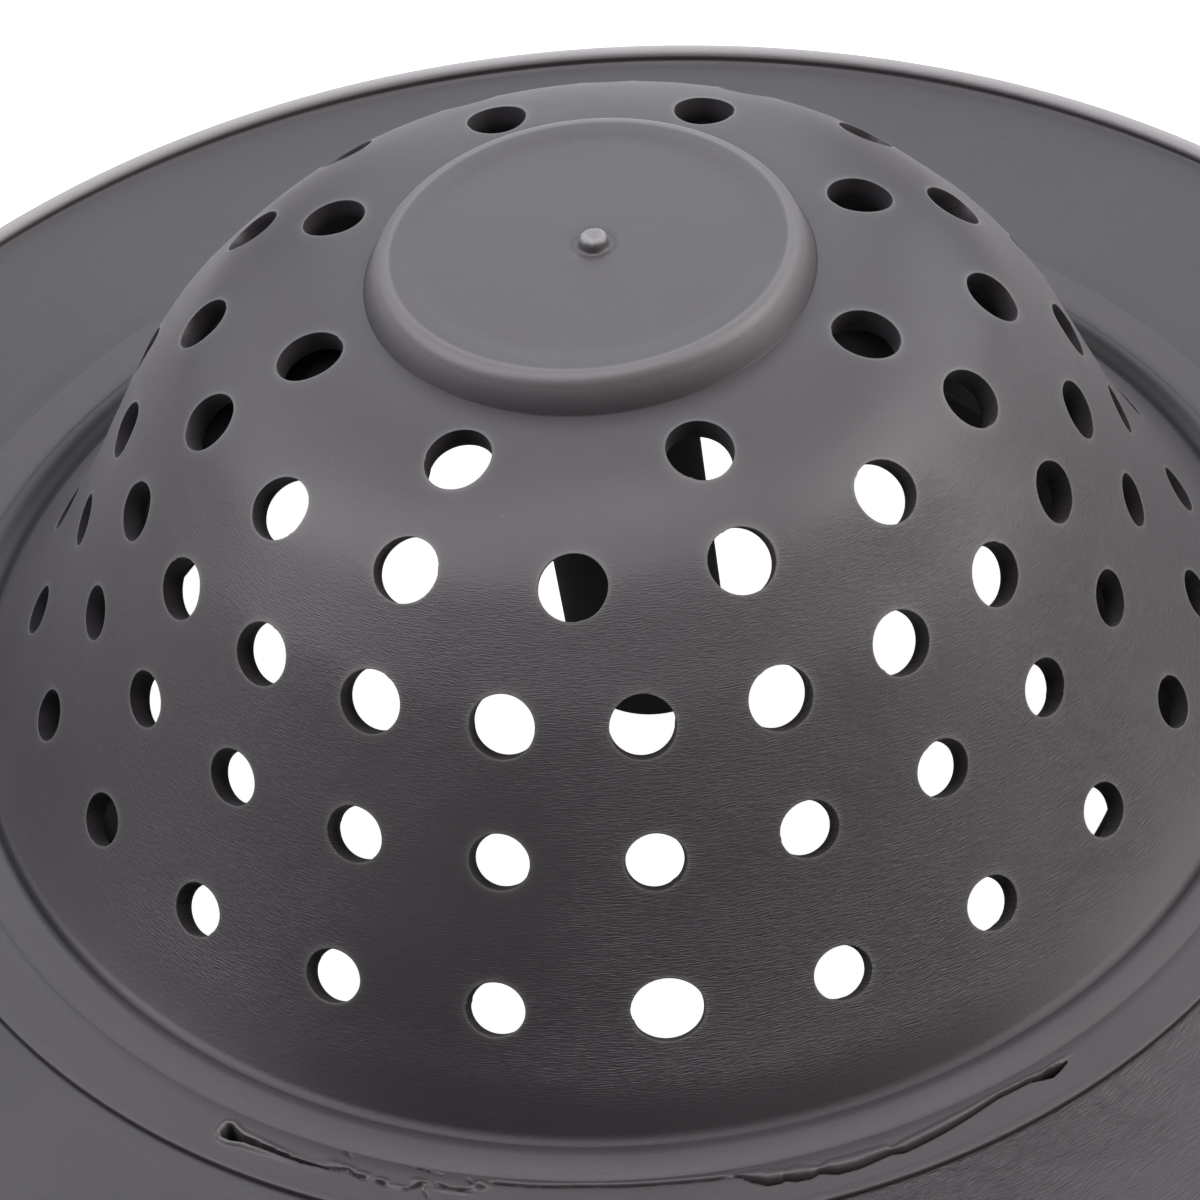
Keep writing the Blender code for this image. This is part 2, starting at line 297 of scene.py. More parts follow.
def dome_outline():
    """The dome's outer side from the axis to the crease, finely stepped."""
    known, slopes = zip(*SHOULDER_SLOPES)
    across = np.linspace(known[0], known[-1], SHOULDER_STEPS)
    drop = np.tan(np.radians(np.interp((across[1:] + across[:-1]) / 2, known, slopes))) * np.diff(across)
    heights = CROWN_HEIGHT - np.concatenate(([0], np.cumsum(drop))) * MM
    shoulder = list(zip(across * MM, heights))
    slope = atan2(shoulder[-1][1] - WALL_END[1], WALL_END[0] - shoulder[-1][0])
    upper = bend(WALL_END, FLARE_MIDDLE, -slope, FLARE_SLOPES[0], 8)
    lower = bend(FLARE_MIDDLE, FOOT, *FLARE_SLOPES, 12)
    return spread([(0, CROWN_HEIGHT), *shoulder, *upper, *lower[1:]], 0.4 * MM)


def inset(points, distance):
    """The line at a distance inside a polyline."""
    points = np.asarray(points, float)
    along = np.gradient(points, axis=0)
    along /= np.linalg.norm(along, axis=1)[:, None]
    return points + distance * np.stack((along[:, 1], -along[:, 0]), 1)


OUTER = np.array(dome_outline())
INNER = inset(OUTER, WALL)
INNER[0] = (0, CROWN_HEIGHT - WALL)


def outer_height(distance):
    """Height of the dome's outer side at a distance from the axis."""
    return np.interp(distance, OUTER[:, 0], OUTER[:, 1])


def inner_height(distance):
    """Height of the dome's inner side at a distance from the axis."""
    return np.interp(distance, INNER[:, 0], INNER[:, 1])


def inner_border(border):
    """Distance from the axis at which the inner side lies square under a border on the outer side."""
    nearest = np.argmin(np.abs(OUTER[:, 0] - border))
    return INNER[nearest, 0] + border - OUTER[nearest, 0]


def meet(start, axis, height_of):
    """Where the lines from start along axis go through a turned surface."""
    low = np.full(len(start), -4 * MM)
    high = np.full(len(start), 4 * MM)
    for _ in range(36):
        middle = (low + high) / 2
        place = start + middle[:, None] * axis
        outside = place[:, 2] > height_of(np.hypot(place[:, 0], place[:, 1]))
        high = np.where(outside, middle, high)
        low = np.where(outside, low, middle)
    return start + ((low + high) / 2)[:, None] * axis


def on_surface(turn, distance, height_of):
    """Points of a turned surface."""
    return np.stack((distance * np.cos(turn), distance * np.sin(turn), height_of(distance)), -1)


def ragged_edge(chance, spoke, ring, number):
    """How far out a hole's edge lies at each angle, about 1: uneven, with fine teeth and a nick on one side."""
    nick = chance.uniform(-pi, pi)
    from_nick = np.abs(np.angle(np.exp(1j * (spoke - nick))))
    teeth = waves(ring * 37 + number, 4, 14, 26)(spoke) * bell(from_nick, 0.9)
    uneven = 1 + 0.004 * waves(ring * 31 + number, 5, 2, 7)(spoke) * np.cos(spoke / 2) ** 2
    return uneven - (chance.uniform(0.004, 0.014) * np.abs(teeth) + 0.02 * bell(from_nick, 0.08))


def hole_cell(skin, ring, number):
    """One cell of the dome with its hole: the outer side, the rounded edge, the hole's wall and the inner side."""
    near, far = CELL_BORDERS[ring:ring + 2]
    count, distance, width, height, inside, lean, start = HOLE_RINGS[ring]
    wide = (ring, number) == WIDE_HOLE
    if wide:
        width, height = WIDE_HOLE_SIZE
    chance = np.random.default_rng(100 * ring + number)
    turn = radians(start) + number * 2 * pi / count
    distance = distance + chance.normal(0, HOLE_JITTER)
    turn_here = turn + chance.normal(0, HOLE_JITTER) / distance + (WIDE_HOLE_TURN if wide else 0)
    centre = on_surface(turn_here, np.float64(distance), outer_height)
    tilt = radians(lean)
    axis = np.array((sin(tilt) * cos(turn_here), sin(tilt) * sin(turn_here), cos(tilt)))
    sideways = np.array((-sin(turn_here), cos(turn_here), 0))
    upways = np.cross(axis, sideways)

    steps = AROUND // count
    side = np.linspace(0, 1, CELL_SIDE, endpoint=False)
    edge = np.linspace(-1, 1, steps, endpoint=False)
    round_cell = np.concatenate((edge, np.ones(CELL_SIDE), -edge, -np.ones(CELL_SIDE)))
    border_turn = turn + pi / count * round_cell

    def border_distance(low, high):
        """Distance from the axis of the cell's border, in step with border_turn."""
        return np.concatenate((
            np.full(steps, high), high + (low - high) * side, np.full(steps, low), low + (high - low) * side
        ))

    outer_distance = border_distance(near, far)
    inner_distance = border_distance(inner_border(near), inner_border(far))
    away = on_surface(border_turn, outer_distance, outer_height) - centre
    spoke = np.arctan2(away @ upways, away @ sideways)
    ragged = ragged_edge(chance, spoke, ring, number)

    def rim(margin, share=1.0):
        """The hole's round at a margin from its wall, before it is laid on the surface."""
        across = (width / 2 * ragged * share + margin) * np.cos(spoke)
        upward = (height / 2 * ragged * share + margin) * np.sin(spoke)
        return centre + across[:, None] * sideways + upward[:, None] * upways

    def to_border(points, height_of, border_distance_here):
        """Loops from a rim out to the cell's border along the surface, and how far out they lie."""
        rim_turn = turn + np.angle(np.exp(1j * (np.arctan2(points[:, 1], points[:, 0]) - turn)))
        rim_distance = np.hypot(points[:, 0], points[:, 1])
        rows = []
        for share in CELL_ROWS:
            here_turn = rim_turn + (border_turn - rim_turn) * share
            here_distance = rim_distance + (border_distance_here - rim_distance) * share
            rows.append(on_surface(here_turn, here_distance, height_of))
        return rows, [np.linalg.norm(row - points, axis=1) for row in rows]

    outer_rim = meet(rim(HOLE_EDGE), axis, outer_height)
    edge_corner = meet(rim(0), axis, outer_height)
    inner_rim = meet(rim(HOLE_EDGE, inside), axis, inner_height)
    inner_corner = meet(rim(0, inside), axis, inner_height)

    loops = []
    tones = []
    # Painted highlight round the hole, fading outwards
    for row, gap in reversed(list(zip(*to_border(outer_rim, outer_height, outer_distance)))):
        loops.append(row + (EDGE_LIFT * bell(gap, EDGE_LIFT_REACH))[:, None] * axis)
        tones.append(sum(strength * bell(gap, reach) for strength, reach in EDGE_PAINTED_HIGHLIGHTS))
    start_rim = loops[-1]
    peak = edge_corner + EDGE_LIFT * axis
    wall_top = edge_corner - HOLE_EDGE * axis
    # Painted highlight on the rounded edge, fading down into the hole
    for share in (0.25, 0.5, 0.75, 1.0):
        loops.append((1 - share) ** 2 * start_rim + 2 * share * (1 - share) * peak + share ** 2 * wall_top)
        tones.append(np.full(len(spoke), 1 - share))
    wall_end = inner_corner + HOLE_EDGE * axis
    # Painted shade down the hole's wall and on the inner side
    for share in (0.33, 0.67, 1.0):
        loops.append(wall_top + (wall_end - wall_top) * share)
        tones.append(np.full(len(spoke), INSIDE_PAINTED_SHADE * share))
    rows, _ = to_border(inner_rim, inner_height, inner_distance)
    for row in rows[::2] + [rows[-1]]:
        loops.append(row)
        tones.append(np.full(len(spoke), INSIDE_PAINTED_SHADE))
    skin.loops(loops, tones)


def bowl_rim_painted_light(loops):
    """Painted shade on the foot, crease, valley and groove and a painted highlight on the crest, softer towards the
    sides and the back.
    """
    distance = np.hypot(loops[..., 0], loops[..., 1])
    back_share = loops[..., 1] / distance
    beside = smooth_step(back_share, -0.97, -0.5)
    behind = smooth_step(back_share, -0.3, 0.5)
    crease_shade_width = 0.1 * MM + 0.2 * MM * beside
    crease = (0.6 - 0.3 * behind) * beside * bell(distance - FOOT[0] - 0.05 * MM, crease_shade_width)
    valley = 0.72 * behind * bell(distance - FOOT[0] - 0.9 * MM, 0.9 * MM)
    foot = smooth_step(distance, 32.5 * MM, FOOT[0]) * (distance < FOOT[0] + 0.01 * MM)
    foot *= 0.45 - 0.3 * smooth_step(back_share, -1, -0.7)
    groove = 0.3 * bell(distance - SEAM_RADIUS, 0.25 * MM)
    crest = 0.12 * bell(distance - CREST[0], 0.07 * MM) * (1 - behind)
    return np.clip(crest - crease - valley - foot - groove, -1, 1)


def bowl_skin(material):
    """The dome with its 96 holes, closed at the crown, down to the seam."""
    skin = Skin()
    for ring, (count, *_) in enumerate(HOLE_RINGS):
        for number in range(count):
            hole_cell(skin, ring, number)
    crown = [AXIS_GAP, 4 * MM, 8 * MM, 10.6 * MM, 11.2 * MM, CROWN_RADIUS, CELL_BORDERS[0]]
    skin.loops(turned_loops([(r, outer_height(r)) for r in crown], AROUND))
    inside = [AXIS_GAP, 3 * MM, 6 * MM, 9 * MM, inner_border(CELL_BORDERS[0])]
    skin.loops(turned_loops([(r, inner_height(r)) for r in inside], AROUND))

    border, border_inside = CELL_BORDERS[-1], inner_border(CELL_BORDERS[-1])
    foot = [(r, z) for r, z in OUTER if r > border]
    hollow = [(r, z) for r, z in INNER if r > border_inside]
    first = (border, outer_height(border))
    last = (border_inside, inner_height(border_inside))
    rim = bend((FOOT[0] + 0.1 * MM, FOOT[1] + 0.03 * MM), CREST, radians(50), 0, 8)
    outward = bend(CREST, (SEAM_RADIUS - 0.35 * MM, BAND_HEIGHT - 0.02 * MM), 0, radians(-7), 8)[1:]
    groove = bend(outward[-1], (SEAM_RADIUS, BAND_HEIGHT - GROOVE_DEPTH), radians(-6), radians(-18), 5)[1:]
    under_height = LEDGE_TOP + 0.1 * MM
    under = [(SEAM_RADIUS, under_height), (FOOT_INNER_RADIUS, under_height)]
    outline = [first, *foot, *rim, *outward, *groove, *under, *reversed(hollow), last]
    loops = turned_loops(outline, AROUND)
    # Painted shade and painted highlight along the rim
    skin.loops(loops, bowl_rim_painted_light(loops))
    return skin.make("bowl_skin", material, sharp=60)


# Flash along the seam. Places are (angle round the axis in degrees, distance from the axis in mm)
SLOT_INNER = (
    (-121.2, 39.55), (-120.9, 39.46), (-119.8, 39.72), (-117.1, 39.8), (-114.8, 39.89), (-112.7, 39.84),
)
SLOT_OUTER = (
    (-121.2, 39.9), (-120.9, 40.16), (-120.2, 40.18), (-119.2, 40.0), (-116.9, 39.93), (-114.7, 39.98),
    (-112.7, 39.86),
)
BEAD_INNER = (
    (-85.2, 39.08), (-82.9, 38.99), (-81.1, 39.28), (-80.3, 39.2), (-78.7, 39.55), (-78.1, 39.34),
    (-73.9, 39.43), (-73.6, 39.7), (-72.5, 39.5), (-69.3, 39.27), (-65.0, 39.1), (-61.0, 39.2),
)
BEAD_OUTER = (
    (-85.2, 39.12), (-84.2, 39.21), (-83.5, 39.56), (-82.4, 39.93), (-81.5, 39.94), (-81.2, 39.84),
    (-80.5, 40.02), (-79.4, 40.07), (-78.8, 39.9), (-77.6, 40.2), (-76.1, 40.24), (-73.7, 40.03),
    (-72.8, 40.19), (-69.7, 39.96), (-65.2, 39.46), (-63.0, 39.49), (-61.0, 39.6),
)
NOTCH_INNER = ((-62.3, 39.62), (-61.1, 39.55), (-59.2, 39.66))
NOTCH_OUTER = ((-62.3, 39.64), (-60.8, 40.0), (-60.2, 39.92), (-59.2, 39.68))
SEAM_LINE = ((-102.0, 39.05), (-98.8, 39.1), (-95.3, 39.03), (-88.4, 39.1), (-84.6, 39.2))
# Start, end, depth and half width in mm
CRACKS = (
    ((-112.7, 38.70), (-111.9, 38.97), 0.14, 0.07),
    ((-113.0, 39.90), (-111.4, 39.70), 0.14, 0.06),
    ((-111.3, 39.78), (-110.0, 39.93), 0.17, 0.06),
    ((-109.3, 39.88), (-108.4, 40.02), 0.17, 0.06),
    ((-107.1, 40.06), (-105.9, 39.52), 0.18, 0.06),
    ((-105.8, 39.45), (-105.8, 39.90), 0.12, 0.05),
    ((-105.8, 39.90), (-105.3, 40.27), 0.12, 0.05),
    ((-105.1, 39.47), (-104.1, 39.64), 0.20, 0.07),
    ((-104.1, 39.64), (-102.7, 39.57), 0.20, 0.07),
    ((-103.3, 38.95), (-102.8, 39.25), 0.20, 0.05),
    ((-107.6, 38.72), (-105.1, 38.93), 0.10, 0.06),
)
# Place, and half length, half width and height in mm
LUMPS = (
    ((-112.4, 39.55), 0.50, 0.16, 0.08),
    ((-111.5, 39.60), 0.30, 0.14, 0.12),
    ((-110.3, 39.70), 0.28, 0.13, 0.12),
    ((-108.9, 39.80), 0.26, 0.12, 0.13),
    ((-107.6, 39.95), 0.45, 0.10, 0.07),
    ((-106.3, 39.50), 0.35, 0.14, 0.13),
    ((-103.9, 39.78), 0.75, 0.07, 0.06),
    ((-102.2, 39.26), 0.30, 0.17, 0.28),
    ((-60.4, 39.42), 0.80, 0.10, 0.12),
)
# Part of the seam that has the finely stepped mesh, in degrees
FLASH_START, FLASH_END, FLASH_STEP = -126, -54, 0.12


def along_turn(turn, places):
    """The distance from the axis of a line through places, at each angle."""
    turns, distances = zip(*places)
    return np.interp(turn, turns, distances)


def seam_length(angle):
    """Length along the seam in mm of an angle in degrees."""
    return np.radians(angle) * SEAM_RADIUS / MM


def pit(turn, distance, inner, outer, soft):
    """Between 0 and 1 where a place lies between two lines."""
    length = outer[-1][0] - outer[0][0]
    ends = smooth_step(turn, outer[0][0], outer[0][0] + 0.05 * length) * (turn < outer[-1][0])
    low = smooth_step(distance - along_turn(turn, inner), -soft, soft)
    return ends * low * smooth_step(along_turn(turn, outer) - distance, -soft, soft)


def slot(turn, distance):
    """The open slot, darkened with painted shade, with a raised lip round its left end that has a painted highlight.
    """
    hollow = pit(turn, distance, SLOT_INNER, SLOT_OUTER, 0.035)
    gap = np.maximum(along_turn(turn, SLOT_INNER) - distance, distance - along_turn(turn, SLOT_OUTER))
    gap = np.hypot(np.maximum(gap, 0), seam_length(np.maximum(SLOT_OUTER[0][0] - turn, 0)))
    fade = 1 - smooth_step(turn, -119.5, -114.5)
    lip = bell(gap - 0.12, 0.14) * (0.15 + 0.85 * fade) * (turn < SLOT_OUTER[-1][0]) * (1 - hollow)
    return 0.16 * lip - 1.3 * hollow * smooth_step(turn, -112.0, -115.5), 0.7 * lip * fade - hollow


def lumps(turn, distance):
    """Small crumbs of flash between slot and seam line, paler the higher they stand."""
    grain = waves(7, 6, 2.0, 9.0)(turn * 3 + distance * 5)
    relief = tone = 0
    for place, half_length, half_width, height in LUMPS:
        across = seam_length(turn - place[0]) / half_length
        lump = height * np.exp(-across ** 2 - ((distance - place[1]) / half_width) ** 2)
        relief = relief + lump * (1 + 0.15 * grain)
        tone = tone + 2.0 * lump
    return relief, tone


def cracks(turn, distance):
    """Fine cracks between the crumbs, darkened with painted shade."""
    relief = tone = 0
    for start, end, depth, half_width in CRACKS:
        along = np.array((seam_length(end[0] - start[0]), end[1] - start[1]))
        across = seam_length(turn - start[0])
        share = (across * along[0] + (distance - start[1]) * along[1]) / (along @ along)
        share = np.clip(share, 0, 1)
        gap = np.hypot(across - share * along[0], distance - start[1] - share * along[1])
        crack = bell(gap, half_width) * np.sin(pi * np.clip(share, 0.08, 0.92)) ** 0.5
        relief = relief - depth * crack
        tone = tone - 0.6 * crack * min(1, 3 * depth)
    return relief, tone


def seam_line(turn, distance):
    """The fine line between the cracks and the bead, darkened with painted shade, with a low ridge beside it that has
    a painted highlight.
    """
    here = smooth_step(turn, -102.0, -101.0) * (1 - smooth_step(turn, -85.6, -84.6))
    gap = distance - along_turn(turn, SEAM_LINE)
    line = bell(gap, 0.06) * here
    ridge = bell(gap + 0.2, 0.12) * here
    return 0.05 * ridge - 0.14 * line, 0.25 * ridge - 0.5 * line


def bead(turn, distance):
    """The puffed bead on the right, with a painted highlight on it and a painted shadow line under its outer edge."""
    inner, outer = along_turn(turn, BEAD_INNER), along_turn(turn, BEAD_OUTER)
    width = np.maximum(outer - inner, 0.02)
    share = np.clip((distance - inner) / width, 0, 1)
    here = smooth_step(turn, -85.0, -84.2) * (1 - smooth_step(turn, -62.6, -61.2))
    body = np.sin(pi * share ** 1.4) ** 0.75 * here
    under = bell(distance - outer - 0.02, 0.06) * here
    return np.minimum(0.42 * width, 0.32) * body - 0.18 * under, 0.35 * body - 0.7 * under


def notch(turn, distance):
    """The open notch at the bead's right end, darkened with painted shade."""
    hollow = pit(turn, distance, NOTCH_INNER, NOTCH_OUTER, 0.04)
    return -0.8 * hollow, -hollow


def seam_relief(turn, distance):
    """Height of the flash on the band in mm, and its tone, at angles in degrees and distances in mm."""
    parts = [part(turn, distance) for part in (slot, lumps, cracks, seam_line, bead, notch)]
    relief, tone = (sum(column) for column in zip(*parts))
    # Painted shade along the groove at the seam
    tone = tone - 0.3 * bell(distance - SEAM_RADIUS / MM, 0.25)
    return relief, np.clip(tone, -1, 1)


def ring_skin(material):
    """The band with the flash along its seam, the ledge under the bowl and the collar."""
    front = np.arange(FLASH_START, FLASH_END, FLASH_STEP)
    rest = np.linspace(FLASH_END, FLASH_START + 360, 193)[:-1]
    turns = np.radians(np.concatenate((front, rest)))
    across = np.concatenate((
        np.arange(SEAM_RADIUS, STEP_RADIUS - 0.18 * MM, 0.045 * MM), [STEP_RADIUS - 0.16 * MM]
    ))
    height = BAND_HEIGHT - GROOVE_DEPTH * bell(across - SEAM_RADIUS, 0.38 * MM)
    height += 0.03 * MM * smooth_step(across, STEP_RADIUS - 0.6 * MM, STEP_RADIUS - 0.2 * MM)
    edge_radius = 0.12 * MM
    edge = arc((STEP_RADIUS - edge_radius, BAND_HEIGHT - 0.09 * MM), edge_radius, 90, 0, 5)
    outer_foot = COLLAR_OUTER_RADIUS + COLLAR_DRAFT
    inner_foot = COLLAR_INNER_RADIUS + COLLAR_DRAFT
    outline = [
        *zip(across, height),
        *edge,
        (STEP_RADIUS, SKIRT_TOP - 0.5 * MM),
        (STEP_RADIUS, LEDGE_BOTTOM),
        (outer_foot + 0.6 * MM, LEDGE_BOTTOM),
        (outer_foot, LEDGE_BOTTOM - 0.5 * MM),
        (COLLAR_OUTER_RADIUS + 0.2 * MM, 0.3 * MM),
        (COLLAR_OUTER_RADIUS - 0.1 * MM, 0),
        (COLLAR_INNER_RADIUS + 0.3 * MM, 0),
        (COLLAR_INNER_RADIUS, 0.3 * MM),
        (inner_foot, LEDGE_TOP - 0.3 * MM),
        (inner_foot + 0.3 * MM, LEDGE_TOP),
        (SEAM_RADIUS, LEDGE_TOP),
    ]
    loops = turned(outline, turns)
    top = len(across)
    turn_grid, distance_grid = np.meshgrid(np.degrees(turns), across / MM)
    relief, tone = seam_relief(turn_grid, distance_grid)
    relief *= smooth_step(distance_grid, SEAM_RADIUS / MM, SEAM_RADIUS / MM + 0.12)
    loops[:top, :, 2] += relief * MM
    tones = np.zeros(loops.shape[:2])
    tones[:top] = tone
    # Painted highlight along the step's edge, painted shadow below it
    tones[top - 4:top + 3] = 0.12
    tones[top + 5:top + 7] = -0.2
    skin = Skin()
    skin.loops(loops, tones, round_trip=True)
    return skin.make("ring_skin", material, sharp=50)


def skirt_skin(material):
    """The soft skirt, from the step to its raised lip."""
    lip_top = SKIRT_TOP + 1.5 * MM
    tip_radius = 0.65 * MM
    tip = arc((SKIRT_RADIUS - tip_radius, lip_top - tip_radius), tip_radius, 160, 0, 8)
    slope_end = (SKIRT_RADIUS - 1.3 * MM, SKIRT_TOP + 0.7 * MM)
    slope = bend((SKIRT_RADIUS - 8 * MM, SKIRT_TOP), slope_end, 0, radians(12), 10)
    lip = slope[:-1] + bend(slope_end, tip[0], radians(14), radians(70), 8)[:-1]
    foot_radius = 0.9 * MM
    foot = arc((SKIRT_RADIUS - foot_radius, SKIRT_BOTTOM + foot_radius), foot_radius, 0, -90, 6)
    inside = STEP_RADIUS - 0.02 * MM
    beside_step = [
        (inside, SKIRT_TOP + 0.06 * MM),
        (inside + 0.08 * MM, SKIRT_TOP + 0.13 * MM),
        (inside + 0.3 * MM, SKIRT_TOP + 0.14 * MM),
        (inside + 1.6 * MM, SKIRT_TOP),
    ]
    top = spread([*beside_step, lip[0]], 0.7 * MM)
    outline = [*top, *lip[1:], *tip, *foot, *spread([foot[-1], (inside, SKIRT_BOTTOM)], 2 * MM)[1:]]
    loops = turned_loops(outline, 2 * AROUND)
    turns = np.arctan2(loops[..., 1], loops[..., 0])
    distance = np.hypot(loops[..., 0], loops[..., 1])
    sag = sum(np.sin(count * turns + start) for count, start in ((2, 0.4), (3, 2.1), (5, 4.0))) * 0.05 * MM
    loops[..., 2] += sag * smooth_step(distance, STEP_RADIUS + 1 * MM, SKIRT_RADIUS)

    # The tip has a painted highlight, faint in front and strong behind, with a painted shade line before it
    behind = smooth_step(np.sin(turns[0]), 0.1, 0.65)
    pale = np.interp(np.linspace(160, 0, len(tip)), (0, 50, 100, 160), (0.1, 1.0, 0.9, 0.5))
    tip_start = len(top) + len(lip) - 1
    tones = np.zeros(loops.shape[:2])
    tones[tip_start - 7:tip_start - 3] = -0.14
    tones[tip_start - 3:tip_start] = 0.3 * behind
    tones[tip_start:tip_start + len(tip)] = pale[:, None] * (0.12 + 0.88 * behind)
    skin = Skin()
    skin.loops(loops, tones, round_trip=True)
    return skin.make("skirt_skin", material, sharp=60)


# Outline of the gate nub: distance from its axis and height above the disc's floor, in mm
NUB = (
    (1.25, 0.0), (1.1, -0.05), (0.95, -0.1), (0.84, -0.08), (0.77, 0.0), (0.73, 0.15), (0.71, 0.33),
    (0.66, 0.46), (0.56, 0.53), (0.42, 0.53), (0.3, 0.46), (0.15, 0.41), (0.01, 0.4),
)
NUB_SHIFT = np.array((0.3, -0.2, 0)) * MM


def nub_loops(floor):
    """The gate nub with its chipped top, and the tone of its loops, paler towards the top."""
    loops = turned_loops([(r * MM, floor + z * MM) for r, z in NUB], AROUND)
    chipped = waves(23, 5, 1.5, 5.0)
    turns = np.arctan2(loops[..., 1], loops[..., 0])
    top = smooth_step(loops[..., 2], floor + 0.2 * MM, floor + 0.5 * MM)
    loops[..., 2] += 0.06 * MM * top * chipped(np.cos(turns) * 2 + np.sin(turns))
    loops[..., :2] *= (1 + 0.05 * chipped(np.cos(turns) + 2 * np.sin(turns)))[..., None]
    return loops + NUB_SHIFT, 0.15 + 0.85 * top * (0.8 + 0.2 * chipped(turns * 3))


def disc_skin(material):
    """The raised disc on the crown, with its rounded edge, faint dish and gate nub."""
    edge = 0.85 * MM
    face_radius = 11.1 * MM
    draft = radians(16)
    floor = DISC_FACE - 0.14 * MM
    hidden_foot = CROWN_HEIGHT - 0.3 * MM
    side_foot = face_radius + (DISC_FACE - CROWN_HEIGHT) * tan(draft)
    rounded = arc((face_radius - edge, DISC_FACE - edge), edge, degrees(draft), 90, 8)
    fillet_start = (side_foot + 0.12 * MM, CROWN_HEIGHT - 0.02 * MM)
    fillet_end = (side_foot - 0.04 * MM, CROWN_HEIGHT + 0.2 * MM)
    fillet = bend(fillet_start, fillet_end, radians(160), radians(110), 4)
    dish_end = (face_radius - 2.2 * MM, DISC_FACE - 0.12 * MM)
    dish = bend(rounded[-1], dish_end, radians(180), radians(188), 6)[1:]
    flat = spread([dish[-1], (1.6 * MM, floor)], 0.6 * MM)[1:]
    outline = [(AXIS_GAP, hidden_foot), (side_foot, hidden_foot), *fillet, *rounded, *dish, *flat]
    loops = turned_loops(outline, AROUND)
    tones = np.zeros(loops.shape[:2])
    # Painted shade at the disc's foot and a painted highlight on its rounded edge
    tones[1:5] = -0.45
    rounded_start = 2 + len(fillet)
    tones[rounded_start:rounded_start + len(rounded)] = 0.4
    nub, nub_tones = nub_loops(floor)
    skin = Skin()
    skin.loops(loops, tones)
    skin.loops(np.stack((loops[-1], nub[0])))
    skin.loops(nub, nub_tones)
    return skin.make("disc_skin", material, sharp=70)


def post_skin(material):
    """The leaning grip post inside the bowl."""
    top = CROWN_HEIGHT - WALL + 0.02 * MM
    bottom = 2.2 * MM
    radius = 4.6 * MM
    lean = radians(3.9)
    edge = 0.5 * MM
    flare_start = (radius, top - 1.2 * MM)
    flare = bend(flare_start, (radius + 0.9 * MM, top), radians(90), radians(30), 5)[1:]
    outline = [
        (AXIS_GAP, bottom),
        (radius - edge, bottom),
        *arc((radius - edge, bottom + edge), edge, -90, 0, 5)[1:],
        *spread([(radius, bottom + edge), flare_start], 1.2 * MM)[1:],
        *flare,
        (AXIS_GAP, top),
    ]
    loops = turned_loops(outline, 96)
    loops[..., 0] += (top - loops[..., 2]) * tan(lean)
    skin = Skin()
    skin.loops(loops)
    return skin.make("post_skin", material, sharp=60)


class Nodes:
    """A new material, with short names for its nodes.

    place is a point on the object and right, back and height are its parts, in metres. turn is its angle
    round the axis and distance its distance from the axis.
    """

    def __init__(self, name):
        self.material = bpy.data.materials.new(name)
        self.material.use_nodes = True
        self.tree = self.material.node_tree
        self.shader = self.tree.nodes["Principled BSDF"]
        self.place = self.add("ShaderNodeTexCoord").outputs["Object"]
        self.right, self.back, self.height = self.add("ShaderNodeSeparateXYZ", {0: self.place}).outputs
        self.turn = self.math("ARCTAN2", self.back, self.right)
        squares = [self.math("POWER", part, 2.0) for part in (self.right, self.back)]
        self.distance = self.math("SQRT", self.math("ADD", *squares))

    def add(self, kind, wired=(), **settings):
        """A node of a kind, with settings, and inputs that are numbers or sockets."""
        node = self.tree.nodes.new(kind)
        for key, value in settings.items():
            setattr(node, key, value)
        self.wire(node, wired)
        return node

    def wire(self, node, wired):
        """Sets a node's inputs: a socket is linked, and a number goes on the input itself."""
        for key, value in dict(wired).items():
            if isinstance(value, bpy.types.NodeSocket):
                self.tree.links.new(value, node.inputs[key])
            else:
                node.inputs[key].default_value = value

    def math(self, operation, *values):
        return self.add("ShaderNodeMath", enumerate(values), operation=operation).outputs[0]

    def times(self, product, *factors):
        """The product of numbers or sockets, multiplied in their order."""
        for factor in factors:
            product = self.math("MULTIPLY", product, factor)
        return product

    def noise(self, place, scale, detail=2.0, roughness=0.5):
        wired = {"Vector": place, "Scale": scale, "Detail": detail, "Roughness": roughness}
        return self.add("ShaderNodeTexNoise", wired).outputs["Fac"]

    def ramp(self, value, low, high, to_low=0.0, to_high=1.0):
        """A soft change from to_low at low to to_high at high."""
        wired = {"Value": value, "From Min": low, "From Max": high, "To Min": to_low, "To Max": to_high}
        return self.add("ShaderNodeMapRange", wired, interpolation_type="SMOOTHSTEP").outputs[0]

    def mix(self, share, first, second):
        """A colour between two colours."""
        return self.add("ShaderNodeMix", {0: share, 6: first, 7: second}, data_type="RGBA").outputs[2]

    def vector(self, *values):
        return self.add("ShaderNodeCombineXYZ", enumerate(values)).outputs[0]


# Ripples: the radius at which they have their true length, their stretch round the axis and their fineness
RIPPLE_RADIUS = 0.034
RIPPLE_STRETCH = 0.13
RIPPLE_SCALE = 11500.0
RELIEF_HEIGHT = 0.00004
DUST = (0.30, 0.29, 0.29, 1.0)


